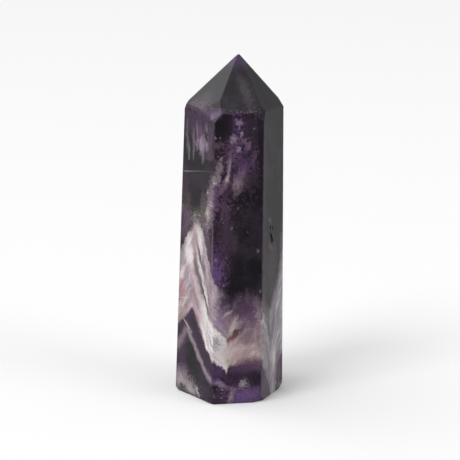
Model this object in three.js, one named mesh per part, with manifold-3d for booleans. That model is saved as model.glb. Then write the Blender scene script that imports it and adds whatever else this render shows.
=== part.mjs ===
// A chevron amethyst point: one piece of banded quartz, sawn flat at the foot, ground to six
// walls that lean in a little as they rise, and brought to a six-sided tip.
// It is shaped here as a cutter shapes it: a block loses one flat after another, then its
// corners are nipped, its edges are eased, and its few chips are struck out.
// Millimetres, +Z up, origin at the middle of the foot, the widest-looking wall towards -Y.
import * as THREE from "three";
import { mergeVertices } from "three/addons/utils/BufferGeometryUtils.js";
import Module from "manifold-3d";

const wasm = await Module();
wasm.setup();

// Driving dimensions
const HEIGHT = 86; // foot to tip
const BLOCK_WIDTH = 40; // the rough block, wider than any flat
const TIP = new THREE.Vector3(2.6, 0.4, HEIGHT); // the tip stands a little right of the middle
const TIP_NIP = { azimuth: 186, slope: 27 }; // the small flat rubbed on the left of the tip

// The six walls, going round. azimuth is where a wall faces, reach its distance from the
// origin at the foot, lean how far it tips in from upright. twist turns the crown flat above
// it, shoulder is the height at which that flat starts, and rise how far over the tip it aims.
const WALLS = {
  left: { azimuth: -142.8, reach: 11.18, lean: 1.24, twist: 3.1, shoulder: 73.9, rise: 0.4 },
  front: { azimuth: -81, reach: 12.27, lean: 1.15, twist: 0.8, shoulder: 73.5, rise: 0 },
  right: { azimuth: -24.9, reach: 11.88, lean: 0.04, twist: 0.8, shoulder: 73.5, rise: 0 },
  back_right: { azimuth: 37.2, reach: 11.43, lean: 0, twist: -2, shoulder: 73.8, rise: 0 },
  back: { azimuth: 99, reach: 12.23, lean: 1, twist: 1.5, shoulder: 73.2, rise: 0.1 },
  back_left: { azimuth: 155.1, reach: 11.96, lean: 2.18, twist: -1.5, shoulder: 73.6, rise: 0.4 },
};

// Nipped corners, each named by the walls on its two sides. slope is from level, and depth is
// how much of the corner is gone, measured square to the flat that replaces it.
const SHOULDER_NIPS = [
  { walls: ["left", "front"], azimuth: -129, slope: 61, depth: 1.1 },
  { walls: ["front", "right"], azimuth: -70.6, slope: 74.5, depth: 0.56 },
  { walls: ["right", "back_right"], azimuth: 6, slope: 60, depth: 0.5 },
  { walls: ["right", "back_right"], azimuth: 6, slope: 78, depth: 0.16 },
  { walls: ["back_right", "back"], azimuth: 70, slope: 62, depth: 0.5 },
  { walls: ["back", "back_left"], azimuth: 124, slope: 66, depth: 0.7 },
  { walls: ["back_left", "left"], azimuth: -174, slope: 65, depth: 0.42 },
];
const FOOT_NIPS = [
  { walls: ["left", "front"], dip: 50, depth: 0.35 },
  { walls: ["front", "right"], dip: 34, depth: 0.95 },
  { walls: ["right", "back_right"], dip: 46, depth: 0.95 },
  { walls: ["right", "back_right"], dip: 7, depth: 0.3 },
  { walls: ["back_right", "back"], dip: 45, depth: 0.5 },
  { walls: ["back", "back_left"], dip: 40, depth: 0.7 },
  { walls: ["back_left", "left"], dip: 42, depth: 0.6 },
];

// How much the polisher takes off each kind of edge, measured square to the new narrow flat
const WALL_EDGE_EASE = 0.06;
const SHOULDER_EDGE_EASE = 0.05;
const CROWN_EDGE_EASE = 0.04;
const FOOT_EDGE_EASE = 0.2;

// Hollows broken or grown open in the walls. along is how far to the right of the wall's middle
// one lies, seen from outside, height how far up, and turn how far it leans over in the wall.
const VUGS = [
  { wall: "right", along: -0.55, height: 41, depth: 0.5, width: 1.1, tall: 3.2, turn: 24 },
  { wall: "right", along: -0.2, height: 40.2, depth: 0.45, width: 1.4, tall: 1.6, turn: 30 },
  { wall: "right", along: -1.2, height: 43.8, depth: 0.3, width: 0.55, tall: 1.2, turn: 8 },
  { wall: "right", along: 0.2, height: 43.2, depth: 0.25, width: 0.5, tall: 1, turn: 0 },
  { wall: "back_left", along: 1.9, height: 27, depth: 0.45, width: 1, tall: 2.7, turn: -20 },
  { wall: "back_left", along: 2.6, height: 24.6, depth: 0.3, width: 0.7, tall: 1.1, turn: 10 },
  { wall: "back", along: -2.4, height: 55.5, depth: 0.35, width: 0.8, tall: 1.9, turn: 35 },
];
const CHIPS = [
  { wall: "left", along: -6.95, height: 42.4, depth: 0.55, width: 0.7, tall: 1.3, turn: 0 },
  { wall: "left", along: -2.1, height: -0.1, depth: 0.5, width: 2.4, tall: 1.4, turn: 6 },
  { wall: "left", along: -0.2, height: -0.15, depth: 0.4, width: 1.5, tall: 1, turn: -8 },
  { wall: "left", along: 2.9, height: -0.15, depth: 0.4, width: 2.6, tall: 1, turn: 4 },
  { wall: "front", along: 0.4, height: -0.2, depth: 0.4, width: 2.8, tall: 0.9, turn: -3 },
  { wall: "front", along: 3.1, height: -0.2, depth: 0.35, width: 1.4, tall: 0.8, turn: 0 },
  { wall: "back_right", along: -1.5, height: -0.1, depth: 0.6, width: 3, tall: 1.5, turn: 5 },
  { wall: "back", along: 2.8, height: -0.1, depth: 0.45, width: 2, tall: 1.1, turn: 0 },
  { wall: "back_left", along: -3.2, height: -0.15, depth: 0.5, width: 1.8, tall: 1.3, turn: -6 },
  { wall: "back", along: -6.5, height: 52, depth: 0.6, width: 0.9, tall: 1.9, turn: 0 },
];

const STONE_COLOUR = 0x3a2b45;
const STONE_ROUGHNESS = 0.12;

const degrees = THREE.MathUtils.degToRad;

// A flat is a plane whose normal points out of the stone, so that normal.dot(p) = offset on it.
function flat(azimuth, fromLevel, point, depth = 0) {
  const level = Math.sin(degrees(fromLevel));
  const normal = new THREE.Vector3(
    Math.cos(degrees(azimuth)) * level,
    Math.sin(degrees(azimuth)) * level,
    Math.cos(degrees(fromLevel)),
  );
  return { normal, offset: normal.dot(point) - depth };
}

// Where three flats meet
function meeting(a, b, c) {
  const bc = b.normal.clone().cross(c.normal);
  const ca = c.normal.clone().cross(a.normal);
  const ab = a.normal.clone().cross(b.normal);
  return bc
    .multiplyScalar(a.offset)
    .addScaledVector(ca, b.offset)
    .addScaledVector(ab, c.offset)
    .divideScalar(a.normal.dot(b.normal.clone().cross(c.normal)));
}

// The narrow flat left when the edge between two flats is rubbed down
function easedEdge(a, b, depth) {
  const normal = a.normal.clone().add(b.normal);
  const length = normal.length();
  return { normal: normal.divideScalar(length), offset: (a.offset + b.offset) / length - depth };
}

function wallFlat({ azimuth, reach, lean }) {
  const foot = new THREE.Vector3(Math.cos(degrees(azimuth)), Math.sin(degrees(azimuth)), 0);
  return flat(azimuth, 90 - lean, foot.multiplyScalar(reach));
}

// The crown flat over a wall runs from the wall's shoulder height up to the tip.
function crownFlat({ azimuth, twist, shoulder, rise }, wall) {
  const facing = degrees(azimuth + twist);
  const out = new THREE.Vector3(Math.cos(facing), Math.sin(facing), 0);
  const atShoulder = new THREE.Vector3(TIP.x, TIP.y, shoulder);
  const run = (wall.offset - wall.normal.dot(atShoulder)) / wall.normal.dot(out);
  const aim = new THREE.Vector3(TIP.x, TIP.y, TIP.z + rise);
  const slope = THREE.MathUtils.radToDeg(Math.atan2(aim.z - shoulder, run));
  return flat(azimuth + twist, slope, aim);
}

function level(height, facing) {
  return { normal: new THREE.Vector3(0, 0, facing), offset: height * facing };
}

function solidOf(geometry) {
  const closed = geometry.clone();
  closed.deleteAttribute("normal");
  closed.deleteAttribute("uv");
  const merged = mergeVertices(closed, 1e-4);
  return new wasm.Manifold(
    new wasm.Mesh({
      numProp: 3,
      vertProperties: new Float32Array(merged.attributes.position.array),
      triVerts: new Uint32Array(merged.index.array),
    }),
  );
}

function geometryOf(solid) {
  const mesh = solid.getMesh();
  const geometry = new THREE.BufferGeometry();
  geometry.setAttribute("position", new THREE.BufferAttribute(mesh.vertProperties, 3));
  geometry.setIndex(new THREE.BufferAttribute(mesh.triVerts, 1));
  const flatShaded = geometry.toNonIndexed();
  flatShaded.computeVertexNormals();
  return flatShaded;
}

function grind(solid, { normal, offset }) {
  return solid.trimByPlane([-normal.x, -normal.y, -normal.z], -offset);
}

// A point on a wall, which stands upright but for its lean
function wallPoint({ azimuth, reach, lean }, along, height) {
  const out = reach - height * Math.tan(degrees(lean));
  const facing = degrees(azimuth);
  return new THREE.Vector3(
    Math.cos(facing) * out - Math.sin(facing) * along,
    Math.sin(facing) * out + Math.cos(facing) * along,
    height,
  );
}

// A rough ball of flat shell-like faces, set half into the wall, leaves a hollow as a break does.
function hollowTool({ wall, along, height, depth, width, tall, turn }) {
  const ball = new THREE.IcosahedronGeometry(1, 1);
  ball.scale(depth, width / 2, tall / 2);
  ball.rotateX(degrees(turn));
  ball.rotateZ(degrees(WALLS[wall].azimuth));
  ball.translate(...wallPoint(WALLS[wall], along, height));
  return solidOf(ball);
}

function cutStone() {
  const names = Object.keys(WALLS);
  const walls = Object.fromEntries(names.map((n) => [n, wallFlat(WALLS[n])]));
  const crown = Object.fromEntries(names.map((n) => [n, crownFlat(WALLS[n], walls[n])]));
  const foot = level(0, -1);
  const flats = [...Object.values(walls), ...Object.values(crown)];
  flats.push(flat(TIP_NIP.azimuth, TIP_NIP.slope, TIP));

  for (const { walls: [a, b], azimuth, slope, depth } of SHOULDER_NIPS) {
    const shoulder = level((WALLS[a].shoulder + WALLS[b].shoulder) / 2, 1);
    flats.push(flat(azimuth, slope, meeting(walls[a], walls[b], shoulder), depth));
  }
  for (const { walls: [a, b], dip, depth } of FOOT_NIPS) {
    const between = easedEdge(walls[a], walls[b], 0).normal;
    const azimuth = THREE.MathUtils.radToDeg(Math.atan2(between.y, between.x));
    flats.push(flat(azimuth, 90 + dip, meeting(walls[a], walls[b], foot), depth));
  }
  names.forEach((name, i) => {
    const next = names[(i + 1) % names.length];
    flats.push(easedEdge(walls[name], walls[next], WALL_EDGE_EASE));
    flats.push(easedEdge(crown[name], crown[next], CROWN_EDGE_EASE));
    flats.push(easedEdge(walls[name], crown[name], SHOULDER_EDGE_EASE));
    flats.push(easedEdge(walls[name], foot, FOOT_EDGE_EASE));
  });

  const block = new THREE.BoxGeometry(BLOCK_WIDTH, BLOCK_WIDTH, HEIGHT);
  block.translate(0, 0, HEIGHT / 2);
  let stone = flats.reduce(grind, solidOf(block));
  for (const hollow of [...VUGS, ...CHIPS]) {
    stone = stone.subtract(hollowTool(hollow));
  }
  return stone;
}

const group = new THREE.Group();
const point = new THREE.Mesh(
  geometryOf(cutStone()),
  new THREE.MeshStandardMaterial({
    color: STONE_COLOUR,
    roughness: STONE_ROUGHNESS,
    metalness: 0,
    flatShading: true,
  }),
);
point.name = "amethyst_point";
group.add(point);

export default group;
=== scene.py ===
"""The finish of a chevron amethyst point: dark violet quartz crossed by milky zigzag layers, hand polished.

The scene is in metres in the stone's own frame: +Z up, the foot on z = 0. The pattern is written in
millimetres as (around, up): around is how far a point lies to the right of the middle of the front,
measured on a ring of radius RING, and up is its height.
"""
import math

import bmesh
import bpy
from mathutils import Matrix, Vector


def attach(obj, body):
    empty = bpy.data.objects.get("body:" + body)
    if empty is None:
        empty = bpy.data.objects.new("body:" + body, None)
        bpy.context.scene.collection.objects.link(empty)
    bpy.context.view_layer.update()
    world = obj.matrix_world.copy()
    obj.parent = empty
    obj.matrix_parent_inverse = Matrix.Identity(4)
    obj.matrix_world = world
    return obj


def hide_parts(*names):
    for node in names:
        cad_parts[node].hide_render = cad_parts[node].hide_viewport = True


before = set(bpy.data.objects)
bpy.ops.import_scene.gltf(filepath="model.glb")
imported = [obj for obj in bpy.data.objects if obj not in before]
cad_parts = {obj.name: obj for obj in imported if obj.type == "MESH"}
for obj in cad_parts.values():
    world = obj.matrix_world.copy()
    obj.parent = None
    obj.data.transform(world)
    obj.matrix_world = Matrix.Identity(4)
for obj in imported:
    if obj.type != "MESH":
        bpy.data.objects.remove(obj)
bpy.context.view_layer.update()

MM = 0.001
STONE = "amethyst_point"

# The camera, where it stood for the photograph
CAMERA_PLACE = (0.0003, -0.5998, 0.2031)
CAMERA_TILT = math.radians(15.08)
FOCAL_LENGTH_PIXELS = 2493
PHOTO_PIXELS = 460
SENSOR_WIDTH = 36
NEAREST = 0.01

# The studio's light: each part's strength, and the cosines between which it fades in
AMBIENT = 0.14
SIDE_CARDS = 0.36
SIDE_CARDS_FADE = (0.35, 0.75)
CEILING = 0.6
CEILING_FADE = (0.35, 0.9)
SOFT_BOX_TOWARDS = (-0.75, 0.2, 0.63)
SOFT_BOX_FADE = (0.6, 0.95)

# The lamps' places and powers, and the floor
LAMP_SIZE = 1.2
LAMPS = {"key_light": ((-1.4, -1.4, 2.2), 30), "fill_light": ((1.8, -1.0, 1.4), 10)}
FLOOR_REACH = 4.0
FLOOR_COLOUR = (0.98, 0.98, 0.98, 1)
FLOOR_ROUGHNESS = 0.9

# The stone's flats and edges
MERGE_DISTANCE = 0.002 * MM
FLAT_TOLERANCE = math.radians(0.4)
MAIN_FLAT_AREA = 1.2 * MM * MM
ROUNDING = 0.06 * MM
BROKEN_DEPTH = 0.01 * MM
WALL_COUNT = 6
UPRIGHT = 0.1
FACES_DOWN = -0.9

# Each finish's roughness, and the depth of its relief in millimetres
FINISHES = {"Polished stone, ": (0.12, 0.06), "Broken stone, ": (0.5, 0.3)}
QUARTZ_IOR = 1.544
WAVE_SCALE = 180
RUB_SCALE = 900
RUB_DULLNESS = 0.08
MILK_DULLNESS = 0.05

# The pattern's ruler, with the edges of the walls in view and where the hidden walls' pattern fades in
RING = 12.5
HALF_ROUND = math.pi * RING
STONE_HEIGHT = 86
LEFT_EDGE = -21
LEFT_RIDGE = -4.1
RIGHT_RIDGE = 8.4
HIDDEN_BEGINS = 20
HIDDEN_WHOLE = 23.5

# How far layers wander, how fast they dip inwards, and how high each layer line lies in the stone's core
WANDER_AROUND = 1.4
WANDER_UP = 1.8
DIP = 0.9
CORE_BEGINS = 3
CORE_WHOLE = 10
TOP_IN_CORE = 34
MIDDLE_IN_CORE = 25
FOOT_IN_CORE = 13
THREAD_IN_CORE = 7

# How far the walls' own marks are moved away on the underside, where none of them shows
OUT_OF_REACH = 200

# The grains that fray the marks: their contrast, and how fine each one is
GRAIN = 3
FLECK_SCALE = 1.3
GRIT_SCALE = 2.8
MOTTLE_SCALE = 0.5
CLOUD_SCALE = 0.17
FIBRE_ACROSS = 1.4
FIBRE_ALONG = 0.16
FIBRE_LEAN = 0.14
LAYER_ACROSS = 0.25
LAYER_ALONG = 0.42

# How far the grains lighten and darken the finished pattern, and how much less they do so in the band
UNEVENNESS = 0.55
CALM_IN_BAND = 0.4
FIBRE_SHADE = 0.08


def srgb(code):
    """A colour written as six hex digits, in the linear values that shaders take."""
    parts = [int(code[i : i + 2], 16) / 255 for i in (0, 2, 4)]
    linear = [p / 12.92 if p <= 0.04045 else ((p + 0.055) / 1.055) ** 2.4 for p in parts]
    return (*linear, 1.0)


# The stone's own colours
DEEP = srgb("161119")
SMOKE = srgb("2a232c")
PLUM = srgb("412c45")
GRAPE = srgb("563c64")
VIOLET = srgb("6a4d80")
WINE = srgb("5e445c")
MAUVE = srgb("6a5468")
HEATHER = srgb("8f8088")
LILAC = srgb("9a86a2")
ASH = srgb("918c92")
ROSE = srgb("a08a8a")
BLUSH = srgb("a87078")
BLOOM = srgb("b9a6ac")
CREAM = srgb("bdb0a2")
MILK = srgb("e2dada")
RUST = srgb("804542")
UMBER = srgb("4c3d3e")
OLIVE = srgb("67645e")

# Layer lines, all the way round, as corners (around, up)
MILK_TOP = [
    (-39.3, 31), (-34, 24), (-29.5, 41), (-24, 31), (-18.6, 36), (-16, 40.7), (-11.4, 45.3), (-8, 43.6),
    (-6.4, 39.4), (-4.6, 33.8), (-2.5, 29.2), (0.3, 26), (5.3, 27.4), (9.2, 26), (12.3, 21.9), (15, 25),
    (18, 29.2), (20.6, 36.5), (25, 45), (30, 27), (35, 38), (39.3, 31),
]
MIDDLE = [
    (-39.3, 23), (-34, 14), (-29.5, 33), (-24, 20), (-18.9, 27.4), (-16.7, 31.9), (-12.4, 36.6), (-9.2, 31.8),
    (-6.7, 26.3), (-4.8, 21.6), (-2.4, 18.9), (-1.1, 18), (0, 15.5), (1, 17.5), (3.4, 19.4), (8.8, 21.6),
    (11, 19.1), (13.4, 13.2), (16, 19.9), (20.5, 26.3), (25, 35), (30, 19), (35, 31), (39.3, 23),
]
MILK_FOOT = [
    (-39.3, 13), (-34, 3), (-29.5, 22), (-24, 9), (-18.6, 17.5), (-14.1, 21.8), (-12.3, 23.2), (-10, 19.3),
    (-8, 16.7), (-5.6, 13.6), (-4.2, 11.6), (-2.7, 10.6), (-1.1, 8.7), (-0.6, 7.6), (-0.1, 9.8), (4.7, 11.2),
    (8, 10.8), (10.5, 6.5), (12.8, 2), (13.6, -3), (16.2, -3), (17, 4), (18.2, 8), (20.6, 9.5), (25, 20),
    (30, 6), (35, 18), (39.3, 13),
]
THREAD = [
    (-39.3, 6), (-34, -4), (-29.5, 14), (-24, 3), (-18.5, 12.3), (-15, 17.4), (-11, 13.2), (-7.8, 9.5),
    (-5.6, 6.9), (-3.6, 6.2), (-1.9, 4.4), (0.7, 3.6), (2.7, 4.5), (4.7, 5.2), (8.2, 5.6), (13, -2),
    (18, 3), (25, 13), (30, -1), (35, 10), (39.3, 6),
]

# The milky band's two halves, as colours met on the way round
UPPER_MILK = [
    (-39.3, LILAC), (-29, MAUVE), (-22, LILAC), (-18, HEATHER), (-15, MILK), (-12.5, BLOOM), (-10.5, BLOOM),
    (-9, MILK), (-7.4, HEATHER), (-6, BLOOM), (-4.8, HEATHER), (-3.4, BLOOM), (-2.4, LILAC), (-1, HEATHER),
    (1, MAUVE), (8, MAUVE), (10, OLIVE), (14, ASH), (20, ASH), (26, LILAC), (39.3, LILAC),
]
LOWER_MILK = [
    (-39.3, ASH), (-29, CREAM), (-22, ASH), (-17.5, ROSE), (-14, BLOOM), (-9, BLOOM), (-7, MILK), (-2, MILK),
    (0.4, CREAM), (2.5, ROSE), (7, ROSE), (9.5, ASH), (19, ASH), (26, MILK), (39.3, ASH),
]


class Field:
    """A number or colour that changes over the stone. Arithmetic on it adds Math nodes to its tree."""

    def __init__(self, tree, socket):
        self.tree = tree
        self.socket = socket

    def __add__(self, other):
        return calculate(self.tree, "ADD", self, other)

    def __sub__(self, other):
        return calculate(self.tree, "SUBTRACT", self, other)

    def __mul__(self, other):
        return calculate(self.tree, "MULTIPLY", self, other)

    def __truediv__(self, other):
        return calculate(self.tree, "DIVIDE", self, other)

    __radd__ = __add__

    def __rsub__(self, other):
        return calculate(self.tree, "SUBTRACT", other, self)

    def size(self):
        return calculate(self.tree, "ABSOLUTE", self)


def feed(tree, socket, value):
    """Gives a socket a field, or a plain value of its own."""
    if isinstance(value, Field):
        tree.links.new(value.socket, socket)
    else:
        socket.default_value = value


def calculate(tree, operation, *values):
    """A Math node's result."""
    node = tree.nodes.new("ShaderNodeMath")
    node.operation = operation
    for socket, value in zip(node.inputs, values):
        feed(tree, socket, value)
    return Field(tree, node.outputs[0])


def vector(tree, operation, *values, result="Vector"):
    """A Vector Math node's result, which is called Value where it is a number."""
    node = tree.nodes.new("ShaderNodeVectorMath")
    node.operation = operation
    for socket, value in zip(node.inputs, values):
        feed(tree, socket, value)
    return Field(tree, node.outputs[result])


def ramp(value, low, high):
    """0 where value is at low and 1 where it is at high, eased at both ends; low may be the larger."""
    node = value.tree.nodes.new("ShaderNodeMapRange")
    node.interpolation_type = "SMOOTHSTEP"
    node.clamp = False
    for name, number in (("Value", value), ("From Min", low), ("From Max", high)):
        feed(value.tree, node.inputs[name], number)
    return Field(value.tree, node.outputs["Result"])


def between(value, low, high, soft):
    """1 from low to high and 0 outside, eased over soft on both sides of each."""
    return ramp(value, low - soft, low + soft) * ramp(value, high + soft, high - soft)


def split(point):
    """The three parts of a point or direction."""
    node = point.tree.nodes.new("ShaderNodeSeparateXYZ")
    feed(point.tree, node.inputs[0], point)
    return [Field(point.tree, socket) for socket in node.outputs]


def join(x, y, z):
    """A point or colour from its three parts."""
    node = x.tree.nodes.new("ShaderNodeCombineXYZ")
    for socket, value in zip(node.inputs, (x, y, z)):
        feed(x.tree, socket, value)
    return Field(x.tree, node.outputs[0])


def noise(point, scale=1.0, detail=3.0, rough=0.6):
    """Smooth noise between 0 and 1, about 0.5."""
    node = point.tree.nodes.new("ShaderNodeTexNoise")
    feed(point.tree, node.inputs["Vector"], point)
    node.inputs["Scale"].default_value = scale
    node.inputs["Detail"].default_value = detail
    node.inputs["Roughness"].default_value = rough
    return Field(point.tree, node.outputs["Fac"])


def round_the_stone(around):
    """0 to 1 once round, from the middle of the back to the middle of the back."""
    return (around + HALF_ROUND) / (2 * HALF_ROUND)


def line_height(around, corners):
    """How high a layer line lies at each way around."""
    turn = round_the_stone(around)
    node = around.tree.nodes.new("ShaderNodeFloatCurve")
    curve = node.mapping.curves[0]
    while len(curve.points) < len(corners):
        curve.points.new(0.5, 0.5)
    node.mapping.use_clip = False
    for point, (at, height) in zip(curve.points, corners):
        point.location = (round_the_stone(at), height / STONE_HEIGHT)
        point.handle_type = "VECTOR"
    node.mapping.update()
    feed(around.tree, node.inputs["Value"], turn)
    return Field(around.tree, node.outputs[0]) * STONE_HEIGHT


def colour_round(around, stops):
    """The colour of a layer at each way around."""
    turn = round_the_stone(around)
    node = around.tree.nodes.new("ShaderNodeValToRGB")
    elements = node.color_ramp.elements
    while len(elements) < len(stops):
        elements.new(0.5)
    for element, (at, colour) in zip(elements, stops):
        element.position = round_the_stone(at)
        element.color = colour
    feed(around.tree, node.inputs["Fac"], turn)
    return Field(around.tree, node.outputs["Color"])


def blend(below, above, mask):
    """The colour above laid over the colour below where mask is 1."""
    tree = mask.tree
    node = tree.nodes.new("ShaderNodeMix")
    node.data_type = "RGBA"
    feed(tree, node.inputs["Factor"], mask)
    first, second = [socket for socket in node.inputs if socket.type == "RGBA"]
    feed(tree, first, below)
    feed(tree, second, above)
    return Field(tree, next(socket for socket in node.outputs if socket.type == "RGBA"))


def open_group(name, inputs, outputs):
    """An empty node group; gives its tree, its inputs as fields, and the node that its results go to."""
    tree = bpy.data.node_groups.new(name, "ShaderNodeTree")
    for label, kind in inputs.items():
        tree.interface.new_socket(label, in_out="INPUT", socket_type="NodeSocket" + kind)
    for label, kind in outputs.items():
        tree.interface.new_socket(label, in_out="OUTPUT", socket_type="NodeSocket" + kind)
    entry = tree.nodes.new("NodeGroupInput")
    given = {label: Field(tree, entry.outputs[label]) for label in inputs}
    return tree, given, tree.nodes.new("NodeGroupOutput")


def use_group(tree, group, **values):
    """Places a group; values and the results go by its socket names, with _ for a space."""
    node = tree.nodes.new("ShaderNodeGroup")
    node.node_tree = group
    for label, value in values.items():
        feed(tree, node.inputs[label.replace("_", " ")], value)
    return {socket.name: Field(tree, socket) for socket in node.outputs}


def make_patch_group():
    """A soft oval. Lean moves it around for each millimetre up, and Rise moves it up for each around."""
    numbers = (
        "Around", "Up", "At Around", "At Up", "Half Width", "Half Height", "Lean", "Rise",
        "Softness", "Grain", "Fuzz",
    )
    tree, given, result = open_group("Soft patch", dict.fromkeys(numbers, "Float"), {"Mask": "Float"})
    around = given["Around"] - given["At Around"]
    up = given["Up"] - given["At Up"]
    across = (around - up * given["Lean"]) / given["Half Width"]
    along = (up - around * given["Rise"]) / given["Half Height"]
    reach = calculate(tree, "SQRT", across * across + along * along)
    frayed = calculate(tree, "MULTIPLY_ADD", given["Grain"], given["Fuzz"], reach)
    feed(tree, result.inputs["Mask"], ramp(frayed, given["Softness"] + 1, 1 - given["Softness"]))
    return tree


def make_place_group(walls):
    """Where a point of the stone is in millimetres, its way around and how deep inside the walls it lies."""
    outputs = {"Spot": "Vector", "Around": "Float", "Inset": "Float"}
    tree, given, result = open_group("Place on the stone", {"Point": "Vector"}, outputs)
    x, y, z = (part / MM for part in split(given["Point"]))
    around = calculate(tree, "ARCTAN2", x, 0 - y) * RING
    outmost = None
    for normal, reach in walls:
        out = x * normal.x + y * normal.y + z * normal.z - reach / MM
        outmost = calculate(tree, "MAXIMUM", outmost, out) if outmost else out
    feed(tree, result.inputs["Spot"], join(x, y, z))
    feed(tree, result.inputs["Around"], around)
    feed(tree, result.inputs["Inset"], calculate(tree, "MAXIMUM", 0 - outmost, 0.0))
    return tree


class Painter:
    """Lays colours over the stone one after another, each where its mask is 1.

    Its around and up wander with the layers, and its true_around and true_up don't. Fibres, flecks, grit
    and mottle are grains of four kinds, about 0. over_top, over_middle, over_foot and over_thread say how far
    a point is above each layer line, and layers is a grain drawn out along them.
    """

    def __init__(self, tree, place, around, up, patch_group, hidden):
        self.tree = tree
        self.around = around
        self.up = up
        self.patch_group = patch_group
        self.hidden = hidden
        self.coat = DEEP
        spot = place["Spot"]
        x, y, z = split(spot)
        self.true_up = z
        self.true_around = place["Around"]
        fibre = join(x * FIBRE_ACROSS - z * FIBRE_LEAN, y * FIBRE_ACROSS, z * FIBRE_ALONG)
        self.fibres = (noise(fibre, detail=4.0) - 0.5) * GRAIN
        self.flecks = (noise(spot, FLECK_SCALE, detail=4.0, rough=0.7) - 0.5) * GRAIN
        self.grit = (noise(spot, GRIT_SCALE, detail=3.0, rough=0.7) - 0.5) * GRAIN
        self.mottle = (noise(spot, MOTTLE_SCALE, detail=4.0) - 0.5) * GRAIN

    def lay(self, colour, mask):
        """Lays one colour over all that is there."""
        self.coat = blend(self.coat, colour, mask)

    def patch(
        self, colour, at, size, strength=1.0, lean=0.0, rise=0.0, soft=0.7, grain=None, fuzz=0.8, mask=None
    ):
        """A soft oval patch: at is its middle, size its half width and half height. A grain frays it."""
        oval = use_group(
            self.tree, self.patch_group, Around=self.around, Up=self.up, At_Around=at[0], At_Up=at[1],
            Half_Width=size[0], Half_Height=size[1], Lean=lean, Rise=rise, Softness=soft,
            Grain=grain or self.mottle, Fuzz=fuzz,
        )["Mask"] * strength
        self.lay(colour, oval * mask if mask else oval)

    def speckle(self, colour, at, size, strength=1.0, lean=0.0, rise=0.0, grain=None):
        """A patch that falls apart into flecks away from its middle."""
        self.patch(colour, at, size, strength, lean, rise, 0.5, grain or self.flecks, 2.6)

    def scratch(self, colour, at, size, strength=1.0, rise=0.0, soft=0.5, grain=None, fuzz=0.3):
        """A straight mark, which doesn't wander with the layers."""
        mark = use_group(
            self.tree, self.patch_group, Around=self.true_around, Up=self.true_up, At_Around=at[0],
            At_Up=at[1], Half_Width=size[0], Half_Height=size[1], Rise=rise, Softness=soft,
            Grain=grain or self.flecks, Fuzz=fuzz,
        )["Mask"] * strength
        self.lay(colour, mark)

    def stroke(self, colour, over, half_width, strength=1.0, offset=0.0, reach=None, fuzz=0.3, mask=None):
        """A soft band along a layer line, over being how far a point is above it."""
        away = (over - offset).size() / half_width + self.flecks * fuzz
        band = ramp(away, 1.7, 0.2) * strength
        if reach:
            band = band * between(self.around, reach[0], reach[1], 0.8)
        self.lay(colour, band * mask if mask else band)


def paint_crown(brush):
    """Faint violet in the tip, and mauve smudges and pale flecks in the crown flats."""
    grit = brush.grit
    brush.scratch(GRAPE, (3, 85), (60, 1.6), 0.5, soft=0.8)
    brush.scratch(MAUVE, (6.8, 76.2), (1.4, 2.2), 0.22, soft=0.7, grain=brush.fibres, fuzz=1.6)
    brush.scratch(ASH, (7.2, 79), (2, 2.2), 0.12, soft=0.6, grain=grit, fuzz=2.4)
    brush.scratch(MAUVE, (-13, 74.2), (5, 1.2), 0.3, grain=brush.flecks, fuzz=1.4)
    brush.scratch(ASH, (-10, 76), (3, 1.2), 0.12, grain=grit, fuzz=2.5)
    rim = between(brush.true_up, 73.3, 74.2, 0.3) * between(brush.around, -3.5, 9, 1)
    brush.lay(HEATHER, rim * ramp(grit, 0.1, 0.6) * 0.7)


def paint_left_top(brush):
    """Upright lilac streaks under the left shoulder, which all end near one level line."""
    fibres = brush.fibres
    flecks = brush.flecks
    end = ramp(brush.up - brush.around * 0.14, 62, 63)
    brush.speckle(PLUM, (-11, 72), (9, 3), 0.8)
    brush.speckle(MAUVE, (-9.4, 73.4), (1.4, 0.8), 0.6)
    brush.patch(PLUM, (-9, 67), (5, 5), 0.4, mask=end, grain=fibres)
    brush.patch(ASH, (-16.2, 65.5), (0.6, 4), 0.28, lean=-0.1, grain=fibres, fuzz=1.2, mask=end)
    brush.patch(ASH, (-15.2, 62.3), (0.4, 1.6), 0.3, grain=fibres, fuzz=1.2, mask=end)
    brush.patch(HEATHER, (-13.3, 64.5), (0.5, 4), 0.35, lean=-0.06, grain=fibres, fuzz=1.2, mask=end)
    brush.patch(LILAC, (-11.6, 68.2), (0.35, 2), 0.45, lean=-0.12, grain=fibres, fuzz=0.6, mask=end)
    brush.patch(MAUVE, (-9.6, 67.6), (1.7, 2), 0.55, grain=fibres, fuzz=1.2)
    brush.patch(HEATHER, (-6.9, 69.4), (0.45, 1.2), 0.45, grain=fibres, fuzz=0.8)
    brush.patch(HEATHER, (-9.2, 65.2), (2.6, 1.4), 0.5, rise=0.12, grain=flecks, fuzz=1.8)
    brush.patch(LILAC, (-9.2, 65), (1.9, 1.3), 0.65, grain=fibres, fuzz=1.4)
    brush.patch(HEATHER, (-8.3, 62.9), (0.7, 2.2), 0.5, grain=fibres, fuzz=1.2)
    brush.patch(SMOKE, (-7.4, 63.6), (0.25, 1.8), 0.5, grain=fibres, fuzz=0.8)
    brush.patch(SMOKE, (-10.6, 64), (0.25, 1.6), 0.5, grain=fibres, fuzz=0.8)
    brush.patch(ASH, (-6.6, 64.6), (0.6, 1), 0.4, grain=flecks, fuzz=1.2)
    brush.patch(MAUVE, (-5, 66), (1.2, 4), 0.35, grain=fibres, fuzz=1.4, mask=end)
    brush.patch(MAUVE, (-5.4, 62.6), (1.5, 1), 0.35, grain=flecks, fuzz=1.6, mask=end)


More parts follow.
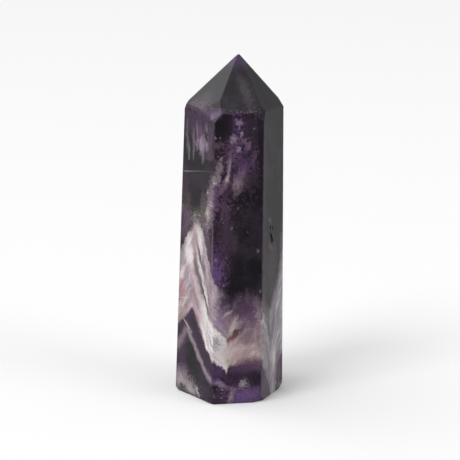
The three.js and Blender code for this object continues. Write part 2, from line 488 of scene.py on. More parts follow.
def paint_corner(brush):
    """The purple nip at the shoulder, between the left and front walls."""
    brush.patch(PLUM, (-6, 73.4), (2.8, 1.4), 0.9, grain=brush.flecks, fuzz=1.2)
    brush.patch(GRAPE, (-4, 73.7), (2.2, 1.5), 0.8, rise=0.2, grain=brush.flecks, fuzz=1.2)
    brush.speckle(MAUVE, (-3.3, 74), (1.4, 0.9), 0.5, grain=brush.grit)
    brush.speckle(LILAC, (-4.5, 72.6), (0.6, 0.8), 0.3, grain=brush.grit)


def paint_left_middle(brush):
    """Dark glassy stone with a healed crack, then an olive haze over the white peak."""
    flecks = brush.flecks
    brush.patch(PLUM, (-17.2, 55), (1.6, 3.5), 0.6)
    brush.patch(UMBER, (-16.2, 50), (2.6, 2.4), 0.6)
    brush.patch(OLIVE, (-18.4, 48.3), (0.8, 1.8), 0.7)
    brush.patch(MAUVE, (-15.7, 45.6), (2.2, 2.6), 0.6, grain=flecks)
    brush.patch(MAUVE, (-16.9, 42), (2, 2.4), 0.5)
    brush.patch(OLIVE, (-10.4, 46), (3.8, 2.6), 0.62, grain=flecks)
    brush.speckle(HEATHER, (-11.2, 45.4), (1.6, 1.4), 0.5)
    brush.patch(MAUVE, (-6.2, 40.4), (1.6, 7), 0.55, lean=-0.2, grain=brush.fibres, fuzz=0.6)
    brush.speckle(HEATHER, (-6.2, 44.6), (1, 1.4), 0.35)
    brush.scratch(HEATHER, (-12.5, 57.9), (5.6, 0.12), 0.35, rise=0.15, soft=0.9)
    brush.scratch(ASH, (-16, 57.3), (2.2, 0.2), 0.3, rise=0.15)
    brush.scratch(CREAM, (-12.4, 46.7), (1.2, 0.13), 0.35, rise=0.4)
    brush.scratch(CREAM, (-10, 47.1), (1.2, 0.13), 0.3)
    brush.speckle(SMOKE, (-12.8, 54), (1.6, 1.6), 0.6)


def paint_ridge_haze_and_highlight(brush):
    """The lilac haze that crosses the ridge between the left and front walls, and a painted highlight: a thin
    lilac line down the ridge's edge.
    """
    flecks = brush.flecks
    fibres = brush.fibres
    brush.patch(OLIVE, (-8, 49.5), (1.3, 3), 0.5, grain=flecks, fuzz=1)
    brush.patch(MAUVE, (-5, 50.6), (1.8, 6), 0.7, lean=0.14, grain=flecks, fuzz=0.9)
    brush.patch(GRAPE, (-3.2, 53.4), (0.8, 2.6), 0.7, grain=flecks, fuzz=0.8)
    brush.patch(HEATHER, (-5.2, 50.6), (1.1, 4.8), 0.6, lean=0.14, grain=flecks, fuzz=1.3)
    brush.patch(HEATHER, (-3.9, 56.8), (0.9, 1.2), 0.6, grain=fibres, fuzz=1)
    brush.patch(CREAM, (-6, 48.2), (0.9, 1.6), 0.4, grain=flecks, fuzz=1)
    brush.patch(MILK, (-5, 51.5), (0.8, 0.16), 0.35, rise=-0.3, fuzz=0.4)
    brush.patch(MILK, (-4.8, 50.6), (0.9, 0.16), 0.3, rise=-0.1, fuzz=0.4)
    brush.patch(MILK, (-6, 53.5), (0.4, 0.4), 0.4)
    brush.patch(MILK, (-6.2, 48.3), (0.4, 0.4), 0.3)
    brush.patch(MILK, (-3.7, 56.4), (0.5, 0.2), 0.35)
    # Painted highlight: a thin lilac line straight down the ridge between the left and front walls, where the
    # edge catches the light
    brush.scratch(LILAC, (-4.15, 40), (0.18, 8), 0.3, soft=0.9)


def paint_front_top(brush):
    """Violet smoke with bright flecks under the front shoulder, and a black hollow on its left."""
    flecks = brush.flecks
    brush.patch(PLUM, (2, 63), (5, 6), 0.6, fuzz=0.6)
    brush.patch(PLUM, (3.4, 68.5), (4, 5), 0.62, grain=flecks, fuzz=1.4)
    brush.speckle(GRAPE, (2.4, 71), (1.1, 2.4), 0.65)
    brush.patch(GRAPE, (2.4, 64), (3, 3), 0.55, grain=flecks, fuzz=1.5)
    brush.patch(GRAPE, (3.6, 60.4), (3, 2), 0.6, grain=flecks, fuzz=1.5)
    brush.patch(SMOKE, (6.4, 68.2), (1.7, 2), 0.8, grain=flecks, fuzz=1.4)
    brush.patch(SMOKE, (5, 63.2), (1, 0.8), 0.6, grain=flecks, fuzz=1.4)
    brush.patch(SMOKE, (0.6, 64.4), (0.7, 0.6), 0.6, grain=flecks, fuzz=1.4)
    brush.patch(PLUM, (6.6, 68.5), (1.6, 3), 0.5, mask=ramp(flecks, 0.1, 0.5))
    brush.speckle(VIOLET, (4.2, 59), (1.3, 1.2), 0.5)
    brush.speckle(MAUVE, (1.6, 65.6), (2.6, 2), 0.36)
    brush.speckle(MAUVE, (0.6, 62.8), (1.6, 1.4), 0.7)
    brush.speckle(MAUVE, (-2.6, 65.8), (1.1, 1.1), 0.6)
    brush.patch(SMOKE, (4, 64.5), (4.6, 8), 0.9, mask=ramp(flecks, -0.05, 0.3))
    brush.patch(MAUVE, (3, 63), (3.4, 6), 0.34, mask=ramp(flecks, -0.2, -0.5))
    brush.patch(DEEP, (-1.6, 69.8), (2.4, 3.2), 0.9, grain=flecks, fuzz=0.7)
    brush.patch(DEEP, (-2.2, 63.8), (1.4, 1), 0.7, grain=flecks, fuzz=1)
    brush.patch(DEEP, (8.4, 66), (0.6, 12), 0.6)
    brush.speckle(LILAC, (3, 70.9), (0.5, 0.8), 0.5)
    brush.speckle(LILAC, (1.2, 67), (0.8, 0.8), 0.5)
    brush.speckle(LILAC, (2.8, 64.8), (0.5, 0.5), 0.6)
    brush.speckle(MAUVE, (4.6, 66.6), (0.5, 1.6), 0.7, lean=-0.3)
    brush.speckle(MAUVE, (5.6, 65.5), (0.4, 0.9), 0.7, lean=0.4)
    brush.speckle(MAUVE, (6.8, 62.6), (0.5, 1.6), 0.4, lean=0.2)
    for at, size, strength in [
        ((3.7, 68.5), 0.4, 0.9), ((3.3, 67.9), 0.2, 0.6), ((-3.4, 67.8), 0.25, 0.6), ((-2.4, 67.6), 0.2, 0.6),
        ((7, 69.7), 0.25, 0.5), ((1.3, 67.4), 0.25, 0.7), ((2.9, 64.9), 0.25, 0.6), ((-1.6, 66.2), 0.15, 0.4),
    ]:
        brush.patch(HEATHER, at, (size, size), strength, grain=brush.grit, fuzz=0.8)


def paint_front_veils(brush):
    """Pale veils that lean to the right as they rise, broken by violet and by a dark slit."""
    fibres = brush.fibres
    flecks = brush.flecks
    brush.speckle(PLUM, (0, 57), (5, 5), 0.7)
    brush.patch(HEATHER, (-2.5, 59.6), (0.8, 2.6), 0.6, lean=0.14, grain=flecks, fuzz=1.4)
    brush.patch(HEATHER, (0, 59.4), (0.45, 3.2), 0.85, lean=0.14, grain=fibres, fuzz=0.8)
    brush.patch(MAUVE, (-1.2, 55.8), (0.9, 2.4), 0.85, lean=0.5, grain=flecks, fuzz=1)
    brush.patch(HEATHER, (-3, 57.4), (0.7, 1), 0.5, grain=flecks, fuzz=1.4)
    brush.patch(CREAM, (-0.45, 57.3), (0.45, 1), 0.6, lean=0.4)
    brush.patch(MAUVE, (3.2, 57.6), (1.5, 2.4), 0.8, lean=0.2, grain=fibres, fuzz=1.4)
    brush.patch(HEATHER, (2.3, 56), (1.2, 1.3), 0.45, lean=0.2, grain=flecks, fuzz=1.4)
    brush.patch(OLIVE, (2, 53.6), (1, 1.1), 0.5, grain=flecks, fuzz=1.6)
    brush.patch(UMBER, (5.4, 56.6), (1.6, 1.2), 0.5, rise=0.3, grain=flecks, fuzz=1.4)
    brush.speckle(SMOKE, (6.4, 56.4), (1.4, 1.2), 0.8)
    brush.patch(DEEP, (-1.4, 58), (0.25, 1.2), 0.9, lean=0.45, fuzz=0.4)
    brush.patch(DEEP, (1.4, 59.2), (0.5, 0.5), 0.7, grain=flecks, fuzz=0.6)
    brush.scratch(ASH, (-2, 62.4), (0.9, 0.14), 0.5, rise=0.8)


def paint_front_middle(brush):
    """Violet speckle down the left of the front wall, black glass down the right."""
    flecks = brush.flecks
    brush.patch(PLUM, (-1.8, 43), (2.8, 12), 0.22, grain=flecks, fuzz=1.2)
    brush.patch(DEEP, (-1.4, 46), (3.4, 9), 0.7, mask=ramp(flecks, -0.1, 0.45))
    brush.speckle(WINE, (-1.4, 50.6), (1.8, 2.4), 0.6)
    brush.patch(PLUM, (-2, 38), (1.6, 5), 0.3, grain=flecks, fuzz=1.2)
    brush.patch(GRAPE, (-3.2, 34.8), (1.9, 4.4), 0.8, lean=-0.1, soft=0.95, grain=flecks, fuzz=1.6)
    brush.patch(VIOLET, (-3.1, 32.8), (1.3, 2.4), 0.55, soft=0.95, grain=flecks, fuzz=1.6)
    brush.patch(SMOKE, (-1.6, 37), (3, 7), 0.6, mask=ramp(flecks, 0, 0.35))
    brush.patch(MAUVE, (-3.9, 47.5), (0.3, 1.6), 0.6, grain=flecks)
    brush.patch(SMOKE, (7, 43), (1.8, 4.6), 0.65)
    brush.patch(PLUM, (7.2, 46), (1.6, 3), 0.1, grain=flecks, fuzz=1.2)
    brush.patch(UMBER, (1.6, 41), (0.7, 1.8), 0.35, grain=flecks)
    brush.speckle(MAUVE, (-0.6, 44), (1.8, 6), 0.24, grain=brush.grit)
    for at, size in [
        ((2.4, 50), 0.3), ((0, 50.3), 0.15), ((-1.9, 47.6), 0.25), ((-1.4, 46.3), 0.2), ((0.7, 44.8), 0.35),
        ((-3, 36.9), 0.3), ((-0.7, 37.6), 0.25), ((7.6, 39), 0.35), ((5.2, 43.6), 0.15), ((-1.3, 30.4), 0.3),
        ((8, 28.9), 0.2), ((3.3, 27.6), 0.15),
    ]:
        brush.patch(HEATHER, at, (size, size * 1.2), 0.4, grain=brush.grit, fuzz=1)


def paint_band_left(brush):
    """The white peak of the left wall, with its dark seam and blushing core."""
    layers = brush.layers
    fibres = brush.fibres
    brush.patch(ROSE, (-11.6, 40), (1.6, 3.6), 0.6, grain=fibres)
    brush.patch(MILK, (-9.8, 42.4), (0.8, 1.8), 0.5, lean=-0.3, grain=fibres)
    brush.patch(MILK, (-15.2, 38.6), (0.6, 2.6), 0.45, lean=0.15, grain=fibres)
    brush.patch(MILK, (-13.9, 35.8), (1.5, 2.2), 0.9, grain=layers)
    brush.patch(PLUM, (-18, 39), (0.8, 2.6), 0.6, lean=0.3, grain=fibres)
    brush.patch(ASH, (-17.3, 36), (0.7, 1.8), 0.6, grain=fibres)
    brush.patch(MAUVE, (-16.6, 33.8), (0.5, 2.2), 0.5, lean=0.5, grain=layers)
    brush.patch(MILK, (-17.6, 30.8), (0.9, 2.2), 0.7, lean=0.3, grain=layers)
    brush.patch(BLUSH, (-17.6, 27.2), (1.5, 1.9), 0.5, grain=layers)
    brush.patch(LILAC, (-14.9, 30.4), (1.2, 2.6), 0.5, grain=layers)
    brush.patch(ROSE, (-12.6, 25.2), (2.4, 1.6), 0.5, grain=layers)
    brush.stroke(MILK, brush.over_middle, 1.0, 0.8, offset=1.9, reach=(-10.6, -5.5))
    brush.stroke(MAUVE, brush.over_middle, 0.8, 0.5, offset=5.6, reach=(-10, -7))
    brush.patch(UMBER, (-9.1, 36), (0.6, 2.4), 0.75, lean=-0.4, grain=layers)
    brush.patch(MAUVE, (-7.4, 35), (0.35, 3.4), 0.6, lean=-0.35, grain=fibres)
    brush.patch(MAUVE, (-5.6, 28), (0.25, 3.6), 0.55, lean=-0.2, grain=fibres)
    brush.stroke(UMBER, brush.over_middle, 2.3, 0.75, offset=-0.6, reach=(-12.2, -7.4))
    brush.stroke(UMBER, brush.over_middle, 1.1, 0.85, reach=(-8.4, -5.0))
    brush.scratch(MILK, (-16.3, 24.9), (2.5, 0.12), 0.4, rise=0.24)
    brush.patch(MILK, (-14.1, 30.6), (0.3, 0.6), 0.6)
    brush.patch(UMBER, (-13.6, 30.3), (0.2, 0.5), 0.6)
    brush.stroke(BLUSH, brush.over_foot, 1.6, 0.4, offset=1.4, reach=(-12, -9))
    brush.stroke(MAUVE, brush.over_foot, 0.9, 0.5, offset=0.4, reach=(-11.4, -7.6))


def paint_band_front(brush):
    """The rust-stained point of the front wall, milky on its left and rose on its right."""
    flecks = brush.flecks
    fibres = brush.fibres
    brush.patch(MAUVE, (-1.4, 23.4), (1.7, 3.2), 0.6, grain=flecks)
    brush.patch(LILAC, (-2.4, 20.4), (1.3, 1.2), 0.7)
    brush.patch(PLUM, (-0.6, 26.6), (1.9, 2), 0.9, grain=flecks)
    brush.patch(PLUM, (4, 24.6), (3.4, 2.2), 0.75, grain=flecks)
    brush.patch(WINE, (5, 20.6), (3, 2.2), 0.7, grain=flecks)
    brush.patch(UMBER, (2.4, 23.6), (0.8, 0.8), 0.6, grain=flecks)
    brush.patch(ROSE, (-1.7, 28.7), (0.9, 0.7), 0.5, rise=0.5, grain=flecks)
    brush.patch(BLOOM, (-0.4, 23.3), (0.5, 0.8), 0.65, lean=0.9, soft=0.9, fuzz=0.4)
    brush.patch(BLUSH, (-0.5, 20.6), (0.6, 1), 0.25, fuzz=0.4)
    brush.patch(BLOOM, (1.1, 19.9), (0.8, 2.2), 0.5, lean=0.3, soft=0.9, grain=fibres, fuzz=0.6)
    brush.patch(CREAM, (1.2, 19.9), (0.45, 2), 0.5, lean=0.3, soft=0.9, grain=fibres, fuzz=0.6)
    brush.speckle(HEATHER, (7.6, 22.6), (0.8, 0.9), 0.7)
    brush.speckle(HEATHER, (7.3, 25.6), (0.8, 1.6), 0.3)
    brush.patch(HEATHER, (-2.2, 13.6), (1.8, 3.4), 0.35, grain=flecks)
    brush.speckle(ASH, (-3.1, 15.6), (1, 1.3), 0.75, grain=brush.grit)
    brush.patch(BLOOM, (1.4, 13.4), (2, 1.9), 0.8, grain=fibres)
    brush.patch(MAUVE, (5, 17.2), (2.6, 1.5), 0.6, grain=fibres)
    brush.patch(HEATHER, (6.7, 16.8), (0.25, 1.6), 0.7, fuzz=0.3)
    brush.stroke(MAUVE, brush.over_middle, 0.5, 0.6, reach=(-3.6, -0.4))
    brush.patch(UMBER, (1.9, 18.3), (1, 1.3), 0.95, lean=0.9, fuzz=0.4)
    brush.patch(RUST, (0.8, 17.2), (0.6, 1), 0.45, lean=0.9, fuzz=0.4)
    brush.patch(RUST, (0.15, 16.4), (0.4, 1), 0.8, lean=0.2, fuzz=0.4)
    brush.patch(BLUSH, (2.3, 12.4), (1.2, 0.8), 0.35)
    brush.patch(UMBER, (-0.1, 11), (0.3, 0.7), 0.35, grain=flecks)


def paint_under_band_left(brush):
    """The dark peak of the left wall with a pale thread through it, and the pale corner at its foot."""
    flecks = brush.flecks
    grit = brush.grit
    brush.patch(PLUM, (-17, 9), (2, 6), 0.7)
    brush.stroke(PLUM, brush.over_thread, 2.4, 0.7, offset=2.6, reach=(-15, -4.6))
    brush.stroke(MAUVE, brush.over_thread, 2.2, 0.6, offset=-0.4, reach=(-19, -14.4))
    brush.stroke(HEATHER, brush.over_thread, 1.2, 0.5, reach=(-19, -14.4))
    brush.stroke(MAUVE, brush.over_thread, 1.3, 0.7, reach=(-14.6, -3.6))
    brush.stroke(HEATHER, brush.over_thread, 0.9, 0.95, reach=(-14.6, -5))
    brush.patch(HEATHER, (-13.9, 16.6), (1, 0.9), 0.7, grain=flecks)
    brush.scratch(MILK, (-15.3, 18.4), (1.4, 0.2), 0.6, rise=-0.75, soft=0.8)
    brush.patch(LILAC, (-4.7, 6.6), (0.6, 0.6), 0.8)
    brush.patch(MAUVE, (-15.8, 5.4), (1.8, 1.8), 0.65, grain=flecks)
    brush.patch(HEATHER, (-17.6, 3.4), (2, 2.4), 0.85, grain=flecks)
    brush.patch(HEATHER, (-13, 2.4), (3.2, 2), 0.9, rise=-0.3, soft=0.9, grain=flecks, fuzz=1.4)
    brush.speckle(MILK, (-13.4, 1.8), (2.6, 1.2), 0.45, rise=-0.3, grain=grit)
    brush.speckle(MILK, (-17.2, 2.6), (1.6, 1.4), 0.3, grain=grit)
    brush.patch(MILK, (-9.6, 1.8), (0.35, 1.2), 0.5, lean=-0.5, grain=flecks)
    brush.speckle(DEEP, (-16.2, 1.5), (1, 0.6), 0.8)
    brush.speckle(SMOKE, (-14.6, 2.4), (3.6, 1.6), 0.3, grain=grit)
    brush.speckle(DEEP, (-13, 0.4), (2.6, 0.3), 0.7)
    brush.patch(PLUM, (-6.4, 2.6), (1.8, 3), 0.6)


def paint_under_band_front(brush):
    """Violet layers under the front wall's band, and the speckled foot."""
    flecks = brush.flecks
    grit = brush.grit
    brush.patch(WINE, (4.8, 9.6), (5, 1.3), 0.95, fuzz=0.4)
    brush.patch(PLUM, (2.6, 8.6), (5.4, 1.6), 0.5, fuzz=0.4)
    brush.patch(GRAPE, (-2.9, 7.8), (1.6, 2.2), 0.6)
    brush.patch(PLUM, (3.6, 6.4), (5, 1.6), 0.45, grain=flecks)
    brush.patch(PLUM, (1, 4.4), (2.4, 1.6), 0.7, grain=flecks)
    brush.patch(GRAPE, (5, 2), (4.6, 2.2), 0.85, grain=flecks, fuzz=0.8)
    brush.patch(VIOLET, (3.8, 1.8), (3.4, 1.8), 0.75, soft=0.9, grain=flecks, fuzz=0.5)
    brush.patch(MAUVE, (6, 2.6), (2, 1.2), 0.4, soft=0.9, grain=flecks)
    brush.patch(LILAC, (-2, 5.1), (1.3, 0.9), 0.6, rise=-0.5, soft=0.9, grain=flecks, fuzz=0.6)
    brush.patch(MAUVE, (0.2, 4), (1.4, 0.6), 0.5, rise=-0.2, soft=0.9)
    brush.patch(MAUVE, (1.2, 3.5), (1.2, 0.5), 0.6, rise=0.5, soft=0.9)
    brush.speckle(ASH, (3.7, 5), (1, 0.8), 0.9, grain=grit)
    brush.patch(HEATHER, (0.3, 1.7), (0.6, 1.9), 0.7, lean=0.25, soft=0.9, grain=flecks, fuzz=0.8)
    brush.patch(WINE, (5.4, 0.3), (1.6, 0.5), 0.8)
    speckled = between(brush.around, -4.2, -0.8, 0.4) * ramp(brush.up, 4.6, 3.2)
    brush.lay(PLUM, speckled * 0.8)
    brush.lay(MILK, ramp(grit, 0.3, 0.6) * speckled * ramp(brush.up, 0.8, 1.6) * 0.6)


def paint_right_wall(brush):
    """Grey glass with a pale line over its small open hollows, and dark smoke at its foot."""
    flecks = brush.flecks
    brush.patch(MAUVE, (9.4, 50), (1.1, 24), 0.15)
    brush.patch(HEATHER, (13.5, 32), (4, 6), 0.12)
    brush.patch(HEATHER, (12.6, 45.6), (0.6, 0.9), 0.25, grain=flecks, fuzz=1.4)
    brush.patch(HEATHER, (13.4, 38.6), (1.1, 0.5), 0.2, rise=-0.4, grain=flecks, fuzz=1.4)
    brush.patch(HEATHER, (19.8, 33), (0.9, 7), 0.4)
    brush.stroke(SMOKE, brush.over_middle, 2.2, 0.5, offset=1.2, reach=(11, 16))
    brush.patch(ASH, (9.6, 12.6), (0.8, 4), 0.5, grain=brush.fibres)
    brush.patch(MILK, (15.5, 9.6), (1.1, 2.6), 0.5, grain=brush.fibres)
    brush.patch(WINE, (18.2, 5.6), (1.7, 4), 0.7, lean=0.15)
    brush.patch(WINE, (10.4, 3.6), (2.6, 4), 0.7)
    brush.patch(HEATHER, (19.4, 1.2), (1.2, 1), 0.4)


def paint_hidden_walls(brush):
    """Seams and threads that carry the layers on round the back."""
    broken = brush.hidden * ramp(brush.mottle, -0.2, 0.3)
    brush.stroke(UMBER, brush.over_middle, 0.7, 0.6, mask=broken)
    brush.stroke(MILK, brush.over_middle, 1.2, 0.5, offset=2.4, mask=brush.hidden)
    brush.stroke(BLUSH, brush.over_foot, 1.6, 0.35, offset=2, mask=broken)


def paint_hidden_thread(brush):
    """The thread under the band, on round the back."""
    brush.stroke(LILAC, brush.over_thread, 0.9, 0.5, fuzz=0.7, mask=brush.hidden)


# The zones that each side shows: in the stone above the band, in the band, below it and over all three
SIDES = {
    "left": (
        (paint_left_top, paint_left_middle, paint_corner, paint_ridge_haze_and_highlight, paint_crown),
        (paint_band_left,), (paint_under_band_left,), (),
    ),
    "front": (
        (paint_front_top, paint_front_middle, paint_front_veils, paint_corner, paint_ridge_haze_and_highlight, paint_crown),
        (paint_band_front,), (paint_under_band_front,), (),
    ),
    "far": ((paint_crown,), (paint_hidden_walls,), (paint_hidden_thread,), (paint_right_wall,)),
}


def paint_smoke(brush, clouds):
    """Violet smoke over the black, and veils on the walls away from the front."""
    hidden = brush.hidden
    brush.lay(SMOKE, clouds)
    brush.lay(PLUM, hidden * ramp(brush.mottle, -0.3, 0.6) * 0.8)
    brush.lay(GRAPE, hidden * clouds * ramp(brush.flecks, -0.3, 0.5) * 0.8)
    brush.lay(MAUVE, hidden * clouds * ramp(brush.grit, 0.2, 0.7) * ramp(brush.fibres, 0, 0.6) * 0.6)
    brush.stroke(MAUVE, brush.over_top, 5, 0.5, offset=3, fuzz=0.9, mask=hidden)


def paint_under_band(brush):
    """A plum edge just under the milky band."""
    below = ramp(brush.over_foot, 1, -1)
    brush.lay(PLUM, ramp(brush.over_foot, -3.4, -0.8) * below * 0.8)


def band_mask(brush):
    """Where the milky band is. Its edge is softer where the front wall cuts it."""
    around = brush.around
    front = between(around, -2.5, 9, 1.2)
    right = between(around, 9, 20, 1)
    teeth = brush.fibres * between(around, -9, -0.3, 0.6) * 0.9
    edge = front * 1.4 + right * 2 + 1.2
    under_top = ramp(brush.over_top + brush.fibres * 0.9 + brush.flecks * 0.5, edge, 0 - edge)
    fading = between(around, 2, 9, 1.5) * 0.9
    return under_top * ramp(brush.over_foot + teeth, -0.6 - fading, 0.8 + fading)


def paint_band(brush, layer):
    """The milky band's own colours, with fine layers in them."""
    halves = ramp(brush.over_middle, 0.8, -0.8)
    brush.coat = blend(colour_round(brush.around, UPPER_MILK), colour_round(brush.around, LOWER_MILK), halves)
    brush.lay(MAUVE, ramp(layer, 0.04, -0.16) * 0.6)
    brush.lay(MILK, ramp(layer, 0.02, 0.2) * 0.45)


def make_pattern_group(groups, side):
    """The pattern of one side of the stone: its colour, and how milky it is."""
    name = "Chevron pattern, " + side
    tree, given, result = open_group(name, {"Point": "Vector"}, {"Color": "Color", "Milk": "Float"})
    above_band, in_the_band, below_band, over_all = SIDES[side]
    place = use_group(tree, groups["place"], Point=given["Point"])
    spot = place["Spot"]
    x, y, z = split(spot)
    inset = place["Inset"]

    # Everything wanders a little, and layers dip towards the core, where the marks on the walls end
    drift = noise(spot, 0.7, detail=2.0, rough=0.5) - 0.5
    sway = noise(join(y, z, x), 0.6, detail=2.0, rough=0.5) - 0.5
    around = place["Around"] + drift * WANDER_AROUND
    up = z + inset * DIP + sway * WANDER_UP
    core = ramp(inset, CORE_BEGINS, CORE_WHOLE)
    skin = 1 - core
    underside = core * ramp(z, 3, 1)
    hidden = ramp(place["Around"].size(), HIDDEN_BEGINS, HIDDEN_WHOLE)
    brush = Painter(tree, place, around, up + underside * OUT_OF_REACH, groups["patch"], hidden)
    brush.over_top = up - line_height(around, MILK_TOP) * skin - core * TOP_IN_CORE
    brush.over_middle = up - line_height(around, MIDDLE) * skin - core * MIDDLE_IN_CORE
    brush.over_foot = up - line_height(around, MILK_FOOT) * skin - core * FOOT_IN_CORE
    brush.over_thread = up - line_height(around, THREAD) * skin - core * THREAD_IN_CORE
    drawn_out = join(x * LAYER_ACROSS, y * LAYER_ACROSS, brush.over_middle * LAYER_ALONG)
    layer = noise(drawn_out, detail=5.0, rough=0.65) - 0.5
    brush.layers = layer * GRAIN

    # The dark stone first, then the band over it
    paint_smoke(brush, ramp(noise(spot, CLOUD_SCALE), 0.45, 0.7))
    for paint in above_band:
        paint(brush)
    paint_under_band(brush)
    for paint in below_band:
        paint(brush)
    dark = brush.coat
    in_band = band_mask(brush)
    paint_band(brush, layer)
    for paint in in_the_band:
        paint(brush)
    brush.coat = blend(dark, brush.coat, in_band)
    for paint in over_all:
        paint(brush)

    # A fine unevenness, strongest in the dark stone
    shade = 1 + brush.grit * (UNEVENNESS - in_band * CALM_IN_BAND) + brush.fibres * FIBRE_SHADE
    feed(tree, result.inputs["Color"], vector(tree, "MULTIPLY", brush.coat, join(shade, shade, shade)))
    feed(tree, result.inputs["Milk"], in_band)
    return tree


def make_surface_group():
    """How the ground stone departs from a mirror: a slow hand-polished wave, and a finer rub."""
    outputs = {"Wave": "Float", "Rub": "Float"}
    tree, given, result = open_group("Hand polish", {"Point": "Vector"}, outputs)
    feed(tree, result.inputs["Wave"], noise(given["Point"], WAVE_SCALE, detail=1.0))
    feed(tree, result.inputs["Rub"], noise(given["Point"], RUB_SCALE, detail=3.0) - 0.5)
    return tree


def make_stone_material(name, pattern_group, surface_group, roughness, relief):
    """The banded stone, with the surface's roughness and the depth of its relief in millimetres."""
    material = bpy.data.materials.new(name)
    material.use_nodes = True
    tree = material.node_tree
    shader = tree.nodes["Principled BSDF"]
    point = Field(tree, tree.nodes.new("ShaderNodeTexCoord").outputs["Object"])
    surface = use_group(tree, surface_group, Point=point)
    bump = tree.nodes.new("ShaderNodeBump")
    bump.inputs["Distance"].default_value = relief * MM
    feed(tree, bump.inputs["Height"], surface["Wave"])
    tree.links.new(bump.outputs["Normal"], shader.inputs["Normal"])
    pattern = use_group(tree, pattern_group, Point=point)
    feed(tree, shader.inputs["Base Color"], pattern["Color"])
    dullness = surface["Rub"] * RUB_DULLNESS + pattern["Milk"] * MILK_DULLNESS
    feed(tree, shader.inputs["Roughness"], dullness + roughness)
    shader.inputs["IOR"].default_value = QUARTZ_IOR
    return material


def main_walls(mesh):
    """The six upright walls as (normal, reach), found by their size."""
    upright = [face for face in mesh.faces if abs(face.normal.z) < UPRIGHT]
    upright.sort(key=lambda face: face.calc_area(), reverse=True)
    return [(face.normal.copy(), face.normal.dot(face.verts[0].co)) for face in upright[:WALL_COUNT]]


def is_broken(face, verts):
    """Whether a face belongs to a chip or hollow. A ground flat has no part of the stone in front of it."""
    reach = face.normal.dot(face.verts[0].co) + BROKEN_DEPTH
    return any(face.normal.dot(vert.co) > reach for vert in verts)


def side_of(face):
    """The place in SIDES of the side that a face shows."""
    left, front, far = range(len(SIDES))
    middle = face.calc_center_median()
    around = math.atan2(middle.x, -middle.y) * RING
    if face.normal.z < FACES_DOWN or not LEFT_EDGE < around < RIGHT_RIDGE:
        return far
    return left if around < LEFT_RIDGE else front


def joins_main_flats(edge):
    """Whether an edge has a real flat on both sides, and not a speck of a chip."""
    return all(face.calc_area() > MAIN_FLAT_AREA for face in edge.link_faces)


def stone_mesh(node):
    """The CAD solid with its triangles joined back into flats and its edges rounded."""
    mesh = bmesh.new()
    mesh.from_mesh(node.data)
    bmesh.ops.remove_doubles(mesh, verts=mesh.verts, dist=MERGE_DISTANCE)
    bmesh.ops.dissolve_limit(mesh, angle_limit=FLAT_TOLERANCE, verts=mesh.verts, edges=mesh.edges)
    walls = main_walls(mesh)
    for face in mesh.faces:
        face.material_index = side_of(face) * len(FINISHES) + is_broken(face, mesh.verts)
    sharp = [edge for edge in mesh.edges if joins_main_flats(edge)]
    bmesh.ops.bevel(
        mesh, geom=sharp, offset=ROUNDING, segments=2, profile=0.5, affect="EDGES", material=-1,
        clamp_overlap=True,
    )
    return mesh, walls


def soft_box(direction):
    """A white card up on the left, which fades out towards its edge."""
    towards = Vector(SOFT_BOX_TOWARDS).normalized()
    return ramp(vector(direction.tree, "DOT_PRODUCT", direction, towards, result="Value"), *SOFT_BOX_FADE)


def make_world():
    """A plain studio: white cards on both sides, a bright ceiling and a soft box up on the left."""
    world = bpy.data.worlds.new("Studio")
    bpy.context.scene.world = world
    world.use_nodes = True
    tree = world.node_tree
    tree.nodes.clear()
    direction = Field(tree, tree.nodes.new("ShaderNodeTexCoord").outputs["Generated"])
    x, _, z = split(direction)
    light = AMBIENT + ramp(x.size(), *SIDE_CARDS_FADE) * SIDE_CARDS
    light = light + ramp(z, *CEILING_FADE) * CEILING
    light = light + soft_box(direction)
    background = tree.nodes.new("ShaderNodeBackground")
    feed(tree, background.inputs["Strength"], light)
    output = tree.nodes.new("ShaderNodeOutputWorld")
    tree.links.new(background.outputs[0], output.inputs["Surface"])


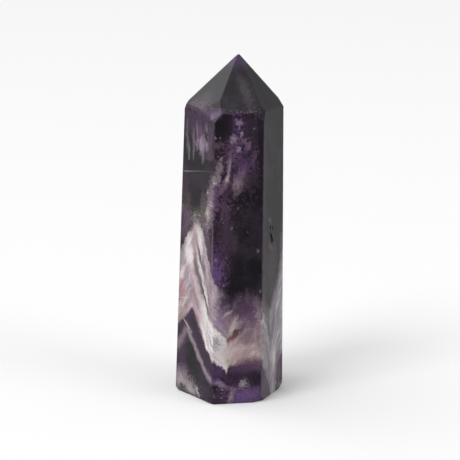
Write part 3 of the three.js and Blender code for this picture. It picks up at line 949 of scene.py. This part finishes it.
def make_light(name, place, power):
    """A large soft lamp aimed at the stone. It lights the stone but isn't mirrored in it."""
    light = bpy.data.lights.new(name, "AREA")
    light.shape = "SQUARE"
    light.size = LAMP_SIZE
    light.energy = power
    lamp = bpy.data.objects.new(name, light)
    lamp.location = place
    aim = Vector((0, 0, STONE_HEIGHT * MM / 2)) - Vector(place)
    lamp.rotation_euler = aim.to_track_quat("-Z", "Y").to_euler()
    lamp.visible_glossy = False
    bpy.context.scene.collection.objects.link(lamp)


def make_floor():
    """Plain white paper, which isn't mirrored in the stone."""
    mesh = bmesh.new()
    bmesh.ops.create_grid(mesh, x_segments=1, y_segments=1, size=FLOOR_REACH)
    data = bpy.data.meshes.new("floor")
    mesh.to_mesh(data)
    mesh.free()
    material = bpy.data.materials.new("White paper")
    material.use_nodes = True
    shader = material.node_tree.nodes["Principled BSDF"]
    shader.inputs["Base Color"].default_value = FLOOR_COLOUR
    shader.inputs["Roughness"].default_value = FLOOR_ROUGHNESS
    shader.inputs["Specular IOR Level"].default_value = 0.0
    data.materials.append(material)
    floor = bpy.data.objects.new("floor", data)
    floor.visible_glossy = False
    bpy.context.scene.collection.objects.link(floor)


def make_camera():
    """The camera, with the photograph's view and framing."""
    camera = bpy.data.cameras.new("camera")
    camera.sensor_width = SENSOR_WIDTH
    camera.lens = SENSOR_WIDTH * FOCAL_LENGTH_PIXELS / PHOTO_PIXELS
    camera.clip_start = NEAREST
    holder = bpy.data.objects.new("camera", camera)
    holder.location = CAMERA_PLACE
    holder.rotation_euler = (math.pi / 2 - CAMERA_TILT, 0, 0)
    bpy.context.scene.collection.objects.link(holder)
    bpy.context.scene.camera = holder


def make_stone():
    """The finished stone, in place of the plain solid."""
    mesh, walls = stone_mesh(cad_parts[STONE])
    groups = {"patch": make_patch_group(), "place": make_place_group(walls)}
    surface = make_surface_group()
    data = bpy.data.meshes.new("polished_point")
    mesh.to_mesh(data)
    mesh.free()
    for side in SIDES:
        pattern = make_pattern_group(groups, side)
        for finish, (roughness, relief) in FINISHES.items():
            data.materials.append(make_stone_material(finish + side, pattern, surface, roughness, relief))
    stone = bpy.data.objects.new("polished_point", data)
    bpy.context.scene.collection.objects.link(stone)
    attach(stone, "root")
    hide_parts(STONE)


make_camera()
make_world()
for lamp_name, (lamp_place, lamp_power) in LAMPS.items():
    make_light(lamp_name, lamp_place, lamp_power)
make_floor()
make_stone()
bpy.context.scene.view_settings.view_transform = "Standard"
